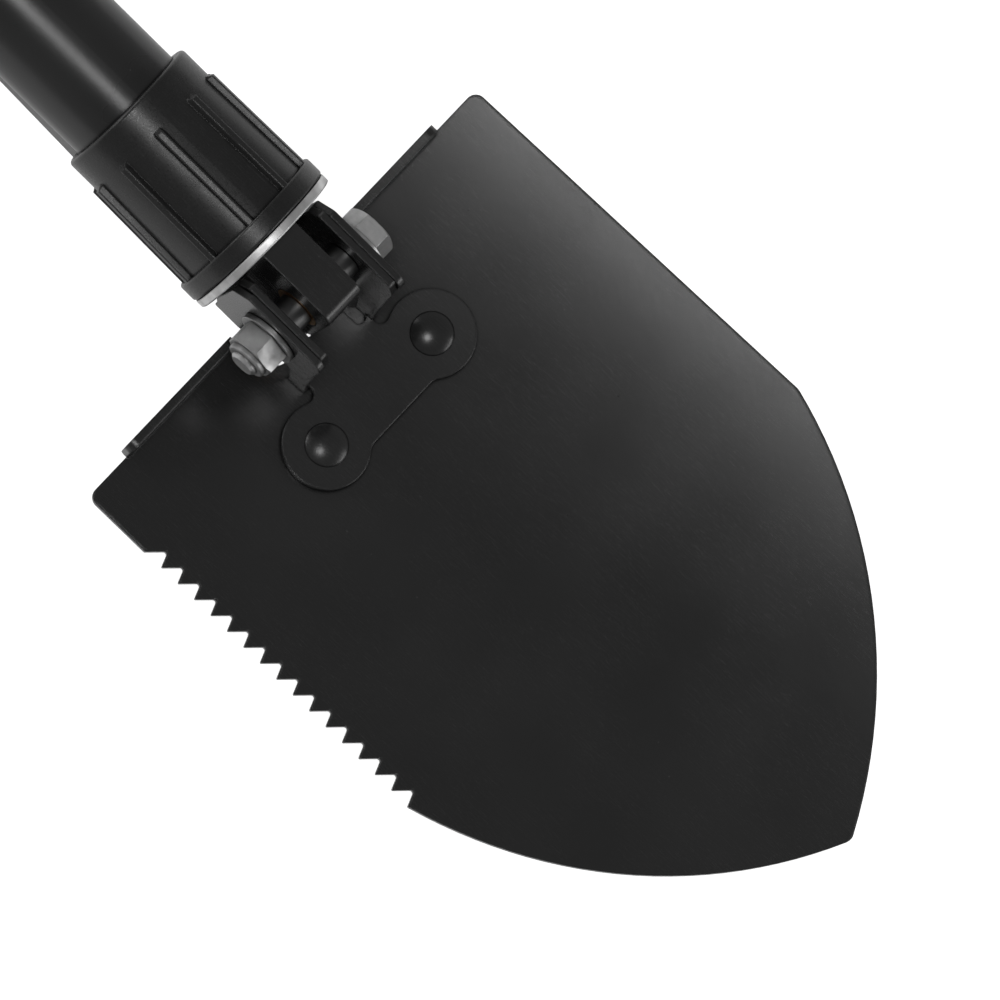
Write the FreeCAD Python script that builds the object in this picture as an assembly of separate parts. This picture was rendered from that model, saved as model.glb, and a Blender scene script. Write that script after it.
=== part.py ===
import FreeCAD, Part

import math
import os

from FreeCAD import Placement, Rotation, Vector

# Folding camp shovel with a swinging pick, millimetres.
# Everything is drawn about the point where the pivot bolt's axis crosses the handle's axis, and is moved
# at the end so that the origin is the centre of the end cap's flat face.
# +X runs along the shovel to the blade's tip, +Y to the bolt's head, +Z out of the blade's hollow front.

X_AXIS = Vector(1, 0, 0)
Y_AXIS = Vector(0, 1, 0)
Z_AXIS = Vector(0, 0, 1)
SIDES = (-1, 1)

# Sheet steel and fits
SHEET = 2.1
BLADE_SHEET = 2.0
GAP = 0.05
FACE_GAP = 0.02

# How far tools reach past the parts that they cut, and how far joined shapes run into each other
REACH = 400.0
BORE_REACH = 30.0
SLAB_LOW_Z = -60.0
SLAB_HEIGHT = 80.0
OVERRUN = 1.0
OVERLAP = 0.5
NEAR = 1e-3

# Blade
SHOULDER_X = -3.0
HIP_X = 113.0
TIP_X = 204.3
SHOULDER_HALF_WIDTH = 75.6
HIP_HALF_WIDTH = 77.0
POINT_ARC_R = 141.0
TIP_ROUND = 3.0
SHOULDER_ROUND = 3.0
HIP_ROUND = 6.0
DISH_R = 400.0
DISH_HALF_ANGLE = 14.0
BLADE_LIFT = 4.8
FOLD_LIMIT = 175.0
BLADE_FRONT_Z = -29.6
NOTCH_HALF_WIDTH = 14.6
NOTCH_BOTTOM_X = 10.0
NOTCH_ROUND = 3.0
LIFT_X = 13.0

# Saw teeth on the -Y side
PLAIN_EDGE = 20.5
TOOTH_PITCH = 5.95
TOOTH_DEPTH = 4.5
TOOTH_RISE = 1.6
GULLET_COUNT = 16
GULLET_ROUND = 0.7
TOOTH_TIP_ROUND = 0.35

# Foot rests turned up from the blade's shoulders
REST_INNER_Y = 18.0
REST_OUTER_Y = 60.0
REST_HEIGHT = 7.5
REST_THICK = 2.0
REST_BEND_R = 1.6
REST_END_ROUND = 3.0

# Ears of the folding joint
EAR_FLAT = 15.8
EAR_FRONT_Z = 11.2
EAR_FACET_X = 13.0
EAR_FACET_Z = 6.6
EAR_CORNER_ROUND = 1.5
PICK_EAR_TIP_X = 15.5
PICK_EAR_ROUND = 3.5
PICK_EAR_REAR_Z = -9.8
PICK_EAR_HEEL_Z = -12.5
PICK_EAR_WAIST_X = 3.0
PICK_EAR_WAIST_Z = -10.8
PICK_EAR_WAIST_ROUND = 6.0
PICK_EAR_FOOT_ROUND = 2.0
BRACKET_EAR_Y = 12.3
PICK_EAR_Y = 14.5
LEG_KNEE_Z = -20.6
LEG_KNEE_ROUND = 2.5
LEG_INNER_X = 7.0
LEG_INNER_ROUND = 2.0
LEG_SHIN_X = 11.9
LEG_SHIN_Z = -21.6
LEG_SHIN_ROUND = 1.5
LEG_FOOT_X = 13.4
LEG_TOE_X = 19.0

# Riveted plate of the blade bracket
RIVET_X = 32.8
RIVET_Y = 20.7
LOBE_R = 12.0
WEB_EDGE_X = 41.5
WEB_INNER_X = 24.5
NECK_HALF_WIDTH = 12.4
RELIEF_INNER_Y = 8.7
RELIEF_END_X = 17.8
NECK_BLEND = 2.5
WEB_BLEND = 4.0
RIVET_R = 3.0
RIVET_HEAD_R = 6.0
RIVET_DOME = 1.9
RIVET_TAIL_R = 5.2
RIVET_TAIL_DOME = 1.4

# Pick
PICK_FRONT_Z = -24.0
PICK_THICK = 2.4
PICK_YOKE_FRONT_Z = -15.9
PICK_YOKE_X = -7.0
PICK_TAB_X = 8.0
PICK_TAB_HALF_WIDTH = 12.1
PICK_YOKE_ROUND = 0.8
PICK_WALL_X = -14.8
PICK_WALL_ROUND = 1.6
PICK_NECK_Y = 12.2
PICK_ROOT_X = -26.0
PICK_WAIST_X = -34.0
PICK_WAIST_Y = 13.0
PICK_TAPER_X = -165.0
PICK_TAPER_Y = 9.5
PICK_TIP_X = -196.0
PICK_TIP_ROUND = 1.5
PICK_WAIST_ROUND = 10.0
PICK_TAPER_ROUND = 20.0
PICK_RIM_START_X = -36.0
PICK_RIM_END_X = -158.0
PICK_RIM_DEPTH = 4.5
PICK_RIM_THICK = 2.2
PICK_RIM_START_RUN = 14.0
PICK_RIM_START_ROUND = 6.0
PICK_RIM_END_RUN = 22.0
PICK_RIM_END_ROUND = 8.0
PICK_RIM_CLEARANCE = 5.0

# Pivot bolt M8 and what it carries
BOLT_R = 4.0
PIVOT_BORE_R = 4.05
HEX_ACROSS_FLATS = 13.0
BOLT_HEAD_H = 5.3
NUT_H = 6.5
NUT_COLLAR_H = 1.5
NUT_COLLAR_R = 5.7
NUT_BORE_R = 4.02
NUT_COLLAR_ROUND = 0.5
NUT_LIP = 0.4
NYLON_OUTER_R = 5.1
NYLON_DEPTH = 2.0
BOLT_END_Y = -27.6
BOLT_END_CHAMFER = 0.7
HEX_FACE_R = 6.6
HEX_CHAMFER_ANGLE = 30.0
WASHER_R = 8.4
WASHER_THICK = 1.55
SPACER_R = 5.0

# Tongue fixed in the handle
TONGUE_HALF_Y = 6.2
TONGUE_HALF_Z = 13.9
TONGUE_FRONT_X = 8.6
TONGUE_ROUND = 4.0
BUSH_R = 6.5
NECK_R = 15.4
NECK_FRONT_X = -26.0
PLUG_END_X = -64.0
PIN_R = 2.5
PIN_SHORT = 0.3
PIN_XS = (-38.0, -50.0)

# Handle tube
TUBE_R = 17.4
TUBE_BORE_R = 15.9
TUBE_FRONT_X = -30.5
TUBE_END_X = -200.0

# Threaded sleeve on the tube
SLEEVE_END_X = -57.0
THREAD_ROOT_R = 18.2
THREAD_CREST_R = 19.1
THREAD_LEAD = 6.0
THREAD_FOOT = 2.2
THREAD_CREST = 0.8
THREAD_ROOT_DEPTH = 0.3

# Pressure ring and its clip
RING_FRONT_X = -17.25
RING_THICK = 2.6
RING_R = 23.2
RING_BORE_R = 15.5
SPIGOT_R = 17.6
SPIGOT_LENGTH = 3.9
CLIP_INNER_R = 16.8
CLIP_OUTER_R = 18.5
CLIP_THICK = 0.9
CLIP_BACK_SET = 2.0
CLIP_GAP = 8.0
RING_EDGE = 0.5

# Locking collar
COLLAR_END_X = -68.4
BAND_R = 23.4
BAND_LENGTH = 5.6
BAND_ROUND = 0.8
FLUTE_R = 21.5
CREST_FRONT_R = 23.0
CREST_BACK_R = 22.5
SHOULDER_BAND_R = 20.8
SHOULDER_BAND_LENGTH = 9.0
SHOULDER_BAND_ROUND = 1.2
COLLAR_LIP_LENGTH = 6.5
COLLAR_BORE_R = 19.3
COLLAR_GUIDE_R = 17.66
COLLAR_GUIDE_LENGTH = 4.4
COLLAR_LIP_R = 17.5
CLIP_GROOVE_R = 18.7
RIB_COUNT = 10
RIB_CREST = 1.9
RIB_FOOT = 3.4
RIB_EDGE = 0.45
RIB_RAMP = 1.2
RIB_FOOT_DEPTH = 0.6
RIB_START_DEPTH = 0.2
FIRST_RIB_ANGLE = 11.0

# End cap, its seal and the insert that it screws into
INSERT_BORE_R = 11.5
INSERT_LENGTH = 20.0
CAP_FACE_X = -201.0
CAP_END_X = -216.0
CAP_R = 18.6
CAP_SPIGOT_R = 11.4
CAP_SPIGOT_LENGTH = 15.0
CAP_EDGE = 1.2
CAP_FLUTES = 12
CAP_FLUTE_R = 3.0
CAP_FLUTE_DEPTH = 0.9
CAP_FLUTE_SHORT = 0.5
LANYARD_R = 2.5
LANYARD_X = -210.5
SEAL_R = 1.0
SEAL_RING_R = 13.2
SEAL_X = -201.05
SEAL_GROOVE_DEPTH = 1.15
INSERT_RIVET_R = 2.0
INSERT_RIVET_HEAD_R = 3.4
INSERT_RIVET_HEAD_H = 1.1
INSERT_RIVET_X = -190.0
INSERT_RIVET_SHORT = 0.1

# The pick ear's 45 degree facet lies as far from the pivot as its flat
PICK_FACET_Z = EAR_FLAT * (math.sqrt(2) - 1)
PICK_FACET_X = EAR_FLAT * math.sqrt(2) - EAR_FRONT_Z
PLATE_FRONT_Z = BLADE_FRONT_Z + SHEET
DISH_CENTRE_Z = BLADE_FRONT_Z + DISH_R
RING_BACK_X = RING_FRONT_X - RING_THICK
COLLAR_FRONT_X = RING_BACK_X - GAP
CLIP_X = RING_BACK_X - CLIP_BACK_SET


def rounded_wire(corners):
    """Closed wire through (x, y, radius) corners, each corner rounded by an arc of its radius."""
    count = len(corners)
    edges = []
    starts = []
    ends = []
    for i, (x, y, radius) in enumerate(corners):
        here = Vector(x, y, 0)
        before = Vector(*corners[i - 1][:2], 0) - here
        after = Vector(*corners[(i + 1) % count][:2], 0) - here
        if radius == 0:
            starts.append(here)
            ends.append(here)
            continue
        before.normalize()
        after.normalize()
        half = before.getAngle(after) / 2
        setback = radius / math.tan(half)
        bisector = before + after
        bisector.normalize()
        middle = here + bisector * (radius / math.sin(half) - radius)
        starts.append(here + before * setback)
        ends.append(here + after * setback)
        edges.append(Part.Arc(starts[-1], middle, ends[-1]).toShape())
    for i in range(count):
        if (starts[i] - ends[i - 1]).Length > 1e-6:
            edges.append(Part.makeLine(ends[i - 1], starts[i]))
    return Part.Wire(Part.__sortEdges__(edges))


def plate(corners, z_low, z_high):
    """Rounded outline in the XY plane, extruded between two heights."""
    solid = Part.Face(rounded_wire(corners)).extrude(Vector(0, 0, z_high - z_low))
    solid.translate(Vector(0, 0, z_low))
    return solid


def side_plate(corners, y_low, y_high):
    """Rounded outline of (x, z, radius) corners, extruded along Y."""
    solid = Part.Face(rounded_wire(corners)).extrude(Vector(0, 0, y_high - y_low))
    solid.rotate(Vector(), X_AXIS, 90)
    solid.translate(Vector(0, y_high, 0))
    return solid


def rod(radius, x_low, x_high):
    return Part.makeCylinder(radius, x_high - x_low, Vector(x_low, 0, 0), X_AXIS)


def pipe(outer_r, inner_r, x_low, x_high):
    return rod(outer_r, x_low, x_high).cut(rod(inner_r, x_low, x_high))


def cross_rod(radius, y_low, y_high, x=0.0):
    return Part.makeCylinder(radius, y_high - y_low, Vector(x, y_low, 0), Y_AXIS)


def dished(z_front, thick):
    """Shell of the blade's hollow curve: its front lies at z_front on the centre line."""
    front_r = DISH_CENTRE_Z - z_front
    section = Part.Face(
        Part.Wire(
            [
                dish_arc(front_r),
                Part.makeLine(dish_point(front_r, 1), dish_point(front_r + thick, 1)),
                dish_arc(front_r + thick),
                Part.makeLine(dish_point(front_r + thick, -1), dish_point(front_r, -1)),
            ]
        )
    )
    section.translate(Vector(-REACH, 0, DISH_CENTRE_Z))
    return section.extrude(X_AXIS * 2 * REACH)


def dish_point(radius, side):
    angle = math.radians(DISH_HALF_ANGLE)
    return Vector(0, side * radius * math.sin(angle), -radius * math.cos(angle))


def dish_arc(radius):
    return Part.Arc(dish_point(radius, -1), Vector(0, 0, -radius), dish_point(radius, 1)).toShape()


def edges_where(solid, test):
    return [edge for edge in solid.Edges if test(edge)]


def is_upright(edge):
    ends = [v.Point for v in edge.Vertexes]
    if len(ends) != 2:
        return False
    span = ends[1] - ends[0]
    return span.Length > 1 and abs(span.x) < 1e-6 and abs(span.y) < 1e-6


def hexagon(y_low, y_high, corner_angle):
    """Hexagonal prism along Y; corner_angle turns its first corner from +Z."""
    corner_r = HEX_ACROSS_FLATS / math.sqrt(3)
    angles = [math.radians(corner_angle + 60 * k) for k in range(6)]
    points = [(corner_r * math.sin(a), corner_r * math.cos(a), 0) for a in angles]
    return side_plate(points, y_low, y_high)


def chamfered_hexagon(y_low, y_high, corner_angle, outer_side):
    """Hexagon whose outer corners are turned down by a cone."""
    prism = hexagon(y_low, y_high, corner_angle)
    height = y_high - y_low
    wide_r = HEX_FACE_R + height / math.tan(math.radians(HEX_CHAMFER_ANGLE))
    if outer_side > 0:
        cone = Part.makeCone(wide_r, HEX_FACE_R, height, Vector(0, y_low, 0), Y_AXIS)
    else:
        cone = Part.makeCone(HEX_FACE_R, wide_r, height, Vector(0, y_low, 0), Y_AXIS)
    return prism.common(cone)


# Blade body

def blade_corners():
    tooth_start = SHOULDER_X + PLAIN_EDGE
    corners = [
        (SHOULDER_X, NOTCH_HALF_WIDTH, 0),
        (SHOULDER_X, SHOULDER_HALF_WIDTH, SHOULDER_ROUND),
        (HIP_X, HIP_HALF_WIDTH, 0),
        (TIP_X + OVERRUN, HIP_HALF_WIDTH, 0),
        (TIP_X + OVERRUN, -HIP_HALF_WIDTH, 0),
        (HIP_X + OVERRUN, -HIP_HALF_WIDTH, 0),
    ]
    for k in reversed(range(GULLET_COUNT)):
        tip_x = tooth_start + k * TOOTH_PITCH
        side_y = -side_half_width(tip_x)
        next_tip_x = tip_x + TOOTH_PITCH
        corners.append((next_tip_x, -side_half_width(next_tip_x), TOOTH_TIP_ROUND))
        corners.append((next_tip_x - TOOTH_RISE, side_y + TOOTH_DEPTH, GULLET_ROUND))
    corners += [
        (tooth_start, -side_half_width(tooth_start), TOOTH_TIP_ROUND),
        (SHOULDER_X, -SHOULDER_HALF_WIDTH, SHOULDER_ROUND),
        (SHOULDER_X, -NOTCH_HALF_WIDTH, 0),
        (NOTCH_BOTTOM_X, -NOTCH_HALF_WIDTH, NOTCH_ROUND),
        (NOTCH_BOTTOM_X, NOTCH_HALF_WIDTH, NOTCH_ROUND),
    ]
    return corners


def side_half_width(x):
    share = (x - SHOULDER_X) / (HIP_X - SHOULDER_X)
    return SHOULDER_HALF_WIDTH + share * (HIP_HALF_WIDTH - SHOULDER_HALF_WIDTH)


def point_waste(side):
    """What is sheared off beyond one hip, outside the arc that runs from the hip to the blade's tip."""
    hip = Vector(HIP_X, side * HIP_HALF_WIDTH, 0)
    tip = Vector(TIP_X, 0, 0)
    chord = tip - hip
    inward = Vector(chord.y, -chord.x, 0) * side
    inward.normalize()
    depth = math.sqrt(POINT_ARC_R ** 2 - (chord.Length / 2) ** 2)
    centre = (hip + tip) * 0.5 + inward * depth
    disc = Part.makeCylinder(POINT_ARC_R, SLAB_HEIGHT, Vector(centre.x, centre.y, SLAB_LOW_Z))
    low_y = min(0, side * REACH)
    beyond = Part.makeBox(REACH, REACH, SLAB_HEIGHT, Vector(HIP_X, low_y, SLAB_LOW_Z))
    return beyond.cut(disc)


def blade_sheet():
    slab = plate(blade_corners(), SLAB_LOW_Z, SLAB_LOW_Z + SLAB_HEIGHT)
    sheet = slab.common(dished(BLADE_FRONT_Z, BLADE_SHEET))
    for side in SIDES:
        sheet = sheet.cut(point_waste(side))
    tip = edges_where(sheet, lambda e: is_upright(e) and e.Vertexes[0].X > TIP_X - 1)
    sheet = sheet.makeFillet(TIP_ROUND, tip)
    hip = edges_where(
        sheet,
        lambda e: is_upright(e) and abs(e.Vertexes[0].X - HIP_X) < 0.2 and e.Vertexes[0].Y > 0,
    )
    return sheet.makeFillet(HIP_ROUND, hip)


def foot_rest(side):
    """Flange turned up towards the front along one shoulder, with a rounded bend and ends."""
    inner = side * REST_INNER_Y
    outer = side * REST_OUTER_Y
    low, high = sorted((inner, outer))
    back_x = SHOULDER_X - REST_THICK
    slab = Part.makeBox(REST_THICK + OVERLAP, high - low, SLAB_HEIGHT, Vector(back_x, low, SLAB_LOW_Z))
    upright = slab.common(dished(BLADE_FRONT_Z + REST_HEIGHT, REST_HEIGHT + BLADE_SHEET))
    bend = edges_where(
        upright,
        lambda e: abs(e.BoundBox.XMax - back_x) < NEAR
        and e.BoundBox.YLength > (high - low) / 2
        and e.BoundBox.ZMax < BLADE_FRONT_Z + REST_HEIGHT / 2,
    )
    upright = upright.makeFillet(REST_BEND_R, bend)
    ends = edges_where(
        upright,
        lambda e: e.BoundBox.XLength > REST_THICK / 2
        and e.BoundBox.YLength < 0.1
        and e.BoundBox.ZMin > BLADE_FRONT_Z + REST_HEIGHT / 2,
    )
    return upright.makeFillet(REST_END_ROUND, ends)


def rivet_placement(side, lift=0.0):
    """On the bracket plate's front, square to its dish, raised by lift."""
    tilt = math.degrees(math.asin(RIVET_Y / DISH_R))
    surface_z = DISH_CENTRE_Z - math.sqrt((DISH_CENTRE_Z - PLATE_FRONT_Z) ** 2 - RIVET_Y ** 2)
    square = Placement(Vector(RIVET_X, side * RIVET_Y, surface_z), Rotation(X_AXIS, side * tilt))
    return square.multiply(Placement(Vector(0, 0, lift), Rotation()))


def rivet_seats():
    """Rods that bore the two rivet holes."""
    seats = []
    for side in SIDES:
        seat = Part.makeCylinder(RIVET_R, BORE_REACH)
        seat.Placement = rivet_placement(side, -BORE_REACH / 2)
        seats.append(seat)
    return seats


def lifted(shape):
    """Turns a shape about the neck's root, so that the blade rises towards its tip."""
    shape.rotate(Vector(LIFT_X, 0, BLADE_FRONT_Z), Y_AXIS, -BLADE_LIFT)
    return shape


def make_blade():
    blade = blade_sheet()
    for side in SIDES:
        blade = blade.fuse(foot_rest(side))
    for seat in rivet_seats():
        blade = blade.cut(seat)
    return lifted(blade.removeSplitter())


def folded_flat_x(z):
    """Front edge of the ear, which the pressure ring meets squarely when the blade is folded."""
    short_of_half_turn = math.radians(180 - FOLD_LIMIT)
    return (EAR_FLAT - z * math.sin(short_of_half_turn)) / math.cos(short_of_half_turn)


def bracket_ear(y_low, y_high):
    """Ear with flats for the pressure ring and a leg that runs down into the plate."""
    plate_z = PLATE_FRONT_Z - SHEET / 2
    corners = [
        (-EAR_FLAT, -EAR_FACET_Z, EAR_CORNER_ROUND),
        (-EAR_FLAT, EAR_FACET_Z, EAR_CORNER_ROUND),
        (-EAR_FACET_X, EAR_FRONT_Z, EAR_CORNER_ROUND),
        (EAR_FACET_X, EAR_FRONT_Z, EAR_CORNER_ROUND),
        (folded_flat_x(EAR_FACET_Z), EAR_FACET_Z, EAR_CORNER_ROUND),
        (folded_flat_x(LEG_KNEE_Z), LEG_KNEE_Z, LEG_KNEE_ROUND),
        (LEG_TOE_X, plate_z, 0),
        (LEG_FOOT_X, plate_z, 0),
        (LEG_SHIN_X, LEG_SHIN_Z, LEG_SHIN_ROUND),
        (LEG_INNER_X, -EAR_FRONT_Z, LEG_INNER_ROUND),
        (-EAR_FACET_X, -EAR_FRONT_Z, EAR_CORNER_ROUND),
    ]
    return side_plate(corners, y_low, y_high)


def slab_box(x_low, x_high, y_low, y_high):
    """Tall block over a rectangle of the XY plane."""
    corner = Vector(x_low, y_low, SLAB_LOW_Z)
    return Part.makeBox(x_high - x_low, y_high - y_low, SLAB_HEIGHT, corner)


def slab_disc(radius, x, y):
    """Tall round block over a disc of the XY plane."""
    return Part.makeCylinder(radius, SLAB_HEIGHT, Vector(x, y, SLAB_LOW_Z))


def bracket_outline():
    """Bone shape: two round lobes on a web, and a neck towards the joint."""
    outline = slab_box(WEB_INNER_X, WEB_EDGE_X, -RIVET_Y, RIVET_Y)
    outline = outline.fuse(slab_box(NOTCH_BOTTOM_X, WEB_EDGE_X, -NECK_HALF_WIDTH, NECK_HALF_WIDTH))
    for side in SIDES:
        outline = outline.fuse(slab_disc(LOBE_R, RIVET_X, side * RIVET_Y))
    outline = outline.removeSplitter()
    outline = outline.makeFillet(NECK_BLEND, edges_where(outline, is_neck_corner))
    return outline.makeFillet(WEB_BLEND, edges_where(outline, is_web_corner))


def is_neck_corner(edge):
    """Corner where a lobe meets the neck."""
    if not is_upright(edge):
        return False
    corner = edge.Vertexes[0]
    return abs(abs(corner.Y) - NECK_HALF_WIDTH) < 0.1 and NOTCH_BOTTOM_X + 1 < corner.X < RIVET_X


def is_web_corner(edge):
    """Corner where a lobe meets the web's straight edge."""
    if not is_upright(edge):
        return False
    corner = edge.Vertexes[0]
    return abs(corner.X - WEB_EDGE_X) < 0.1 and abs(corner.Y) < RIVET_Y


def bend_relief(side):
    """Round-ended slot beside the neck's tab, where the ear's bend stops; it opens out ahead of the leg."""
    slot_half = (BRACKET_EAR_Y - RELIEF_INNER_Y) / 2
    centre_y = side * (RELIEF_INNER_Y + slot_half)
    round_x = RELIEF_END_X - slot_half
    start_x = NOTCH_BOTTOM_X - OVERRUN
    slot = slab_box(start_x, round_x, centre_y - slot_half, centre_y + slot_half)
    low, high = sorted((centre_y, side * (NECK_HALF_WIDTH + OVERRUN)))
    mouth = slab_box(start_x, LEG_FOOT_X, low, high)
    return slot.fuse([slab_disc(slot_half, round_x, centre_y), mouth])


def bracket_plate():
    outline = bracket_outline()
    for side in SIDES:
        low, high = sorted((side * BRACKET_EAR_Y, side * (BRACKET_EAR_Y + SHEET)))
        outline = outline.cut(bend_relief(side))
        outline = outline.fuse(slab_box(LEG_FOOT_X, LEG_TOE_X, low, high))
    bone = outline.removeSplitter().common(dished(PLATE_FRONT_Z, SHEET))
    for seat in rivet_seats():
        bone = bone.cut(seat)
    return lifted(bone)


def make_blade_bracket():
    bracket = bracket_plate()
    for side in SIDES:
        low, high = sorted((side * BRACKET_EAR_Y, side * (BRACKET_EAR_Y + SHEET)))
        bracket = bracket.fuse(bracket_ear(low, high))
    return bracket.cut(cross_rod(PIVOT_BORE_R, -BORE_REACH, BORE_REACH)).removeSplitter()


def dome(radius, height):
    """Low spherical cap standing on the XY plane."""
    ball_r = (radius ** 2 + height ** 2) / (2 * height)
    ball = Part.makeSphere(ball_r, Vector(0, 0, height - ball_r))
    slab = Part.makeCylinder(radius, height)
    return ball.common(slab)


def make_blade_rivets():
    stack = SHEET + BLADE_SHEET
    rivets = []
    for side in SIDES:
        head = dome(RIVET_HEAD_R, RIVET_DOME)
        head.translate(Vector(0, 0, 2 * FACE_GAP))
        shank = Part.makeCylinder(RIVET_R - FACE_GAP, stack + 4 * FACE_GAP, Vector(0, 0, -stack - FACE_GAP))
        tail = dome(RIVET_TAIL_R, RIVET_TAIL_DOME)
        tail.rotate(Vector(), X_AXIS, 180)
        tail.translate(Vector(0, 0, -stack - FACE_GAP))
        rivet = head.fuse(shank).fuse(tail)
        rivet.Placement = rivet_placement(side)
        rivets.append(rivet)
    return lifted(Part.makeCompound(rivets))


# Pick body

def pick_ear(y_low, y_high):
    yoke_back_z = PICK_YOKE_FRONT_Z - PICK_THICK
    corners = [
        (-EAR_FLAT, PICK_EAR_HEEL_Z, EAR_CORNER_ROUND),
        (-EAR_FLAT, PICK_FACET_Z, EAR_CORNER_ROUND),
        (-PICK_FACET_X, EAR_FRONT_Z, EAR_CORNER_ROUND),
        (PICK_EAR_TIP_X, EAR_FRONT_Z, PICK_EAR_ROUND),
        (PICK_EAR_TIP_X, PICK_EAR_REAR_Z, PICK_EAR_ROUND),
        (PICK_EAR_WAIST_X, PICK_EAR_WAIST_Z, PICK_EAR_WAIST_ROUND),
        (PICK_YOKE_X + 1, yoke_back_z, PICK_EAR_FOOT_ROUND),
        (PICK_WALL_X + 1, yoke_back_z, PICK_EAR_FOOT_ROUND),
    ]
    return side_plate(corners, y_low, y_high)


def pick_yoke():
    """Web between the two ears, its tab under the tongue, and the wall that steps back to the arm."""
    yoke_back_z = PICK_YOKE_FRONT_Z - PICK_THICK
    back_z = PICK_FRONT_Z - PICK_THICK
    outer_y = PICK_EAR_Y + SHEET
    web = [
        (PICK_WALL_X, yoke_back_z, PICK_YOKE_ROUND),
        (PICK_WALL_X, PICK_YOKE_FRONT_Z, PICK_YOKE_ROUND),
        (PICK_YOKE_X, PICK_YOKE_FRONT_Z, PICK_YOKE_ROUND),
        (PICK_YOKE_X, yoke_back_z, PICK_YOKE_ROUND),
    ]
    tab = [
        (PICK_WALL_X + PICK_THICK, yoke_back_z, 0),
        (PICK_WALL_X + PICK_THICK, PICK_YOKE_FRONT_Z, 0),
        (PICK_TAB_X, PICK_YOKE_FRONT_Z, PICK_YOKE_ROUND),
        (PICK_TAB_X, yoke_back_z, PICK_YOKE_ROUND),
    ]
    wall = [
        (PICK_WALL_X, PICK_YOKE_FRONT_Z - PICK_THICK / 2, 0),
        (PICK_WALL_X + PICK_THICK, PICK_YOKE_FRONT_Z - PICK_THICK / 2, 0),
        (PICK_WALL_X + PICK_THICK, back_z, PICK_WALL_ROUND),
        (PICK_WALL_X, back_z, 0),
    ]
    yoke = side_plate(web, -outer_y, outer_y)
    yoke = yoke.fuse(side_plate(tab, -PICK_TAB_HALF_WIDTH, PICK_TAB_HALF_WIDTH))
    return yoke.fuse(side_plate(wall, -PICK_NECK_Y, PICK_NECK_Y))


def pick_outline():
    half = [
        (PICK_WALL_X + PICK_THICK / 2, PICK_NECK_Y, 0),
        (PICK_ROOT_X, PICK_NECK_Y, PICK_WAIST_ROUND),
        (PICK_WAIST_X, PICK_WAIST_Y, PICK_WAIST_ROUND),
        (PICK_TAPER_X, PICK_TAPER_Y, PICK_TAPER_ROUND),
    ]
    mirrored = [(x, -y, radius) for x, y, radius in reversed(half)]
    return half + [(PICK_TIP_X, 0, PICK_TIP_ROUND)] + mirrored


def pick_rim():
    """Flanges turned back along both long edges, lower at their ends."""
    back_z = PICK_FRONT_Z - PICK_THICK
    edge_z = back_z - PICK_RIM_DEPTH
    arm = plate(pick_outline(), edge_z, back_z + OVERLAP)
    ends = [
        (PICK_RIM_START_X, back_z + OVERRUN, 0),
        (PICK_RIM_END_X, back_z + OVERRUN, 0),
        (PICK_RIM_END_X, back_z, 0),
        (PICK_RIM_END_X + PICK_RIM_END_RUN, edge_z, PICK_RIM_END_ROUND),
        (PICK_RIM_START_X - PICK_RIM_START_RUN, edge_z, PICK_RIM_START_ROUND),
        (PICK_RIM_START_X, back_z, 0),
    ]
    rim = arm.common(side_plate(ends, -BORE_REACH, BORE_REACH))
    slope = (PICK_WAIST_Y - PICK_TAPER_Y) / (PICK_WAIST_X - PICK_TAPER_X)
    hollow_half = PICK_WAIST_Y - PICK_RIM_THICK
    end_half = hollow_half + slope * (PICK_TIP_X - PICK_WAIST_X)
    hollow = [
        (PICK_WAIST_X + PICK_RIM_CLEARANCE, hollow_half, 0),
        (PICK_TIP_X, end_half, 0),
        (PICK_TIP_X, -end_half, 0),
        (PICK_WAIST_X + PICK_RIM_CLEARANCE, -hollow_half, 0),
    ]
    return rim.cut(plate(hollow, edge_z - OVERRUN, back_z + OVERRUN))


def make_pick():
    pick = plate(pick_outline(), PICK_FRONT_Z - PICK_THICK, PICK_FRONT_Z)
    pick = pick.fuse(pick_rim()).fuse(pick_yoke())
    for side in SIDES:
        low, high = sorted((side * PICK_EAR_Y, side * (PICK_EAR_Y + SHEET)))
        pick = pick.fuse(pick_ear(low, high))
    pick = pick.cut(cross_rod(PIVOT_BORE_R, -BORE_REACH, BORE_REACH))
    return pick.removeSplitter()


# Pivot hardware

def make_pivot_bolt():
    seat_y = PICK_EAR_Y + SHEET + 2 * GAP + WASHER_THICK
    head = chamfered_hexagon(seat_y, seat_y + BOLT_HEAD_H, 30, 1)
    shank = cross_rod(BOLT_R, BOLT_END_Y, seat_y + OVERRUN)
    end = edges_where(shank, lambda e: abs(e.BoundBox.YMax - BOLT_END_Y) < NEAR)
    return head.fuse(shank.makeChamfer(BOLT_END_CHAMFER, end)).removeSplitter()


def nut_seat_y():
    return -(PICK_EAR_Y + SHEET + 2 * GAP + WASHER_THICK)


def nylon_span():
    """Low and high Y of the nut's nylon ring, under the collar's lip."""
    low = nut_seat_y() - NUT_H - NUT_COLLAR_H + NUT_LIP
    return low, low + NYLON_DEPTH


def make_pivot_nut():
    seat_y = nut_seat_y()
    end_y = seat_y - NUT_H - NUT_COLLAR_H
    nut = chamfered_hexagon(seat_y - NUT_H, seat_y, 0, -1)
    collar = cross_rod(NUT_COLLAR_R, end_y, seat_y - NUT_H + OVERRUN)
    rim = edges_where(collar, lambda e: abs(e.BoundBox.YMax - end_y) < NEAR)
    nut = nut.fuse(collar.makeFillet(NUT_COLLAR_ROUND, rim))
    nut = nut.cut(cross_rod(NYLON_OUTER_R, *nylon_span()))
    return nut.cut(cross_rod(NUT_BORE_R, -BORE_REACH, 0)).removeSplitter()


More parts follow.
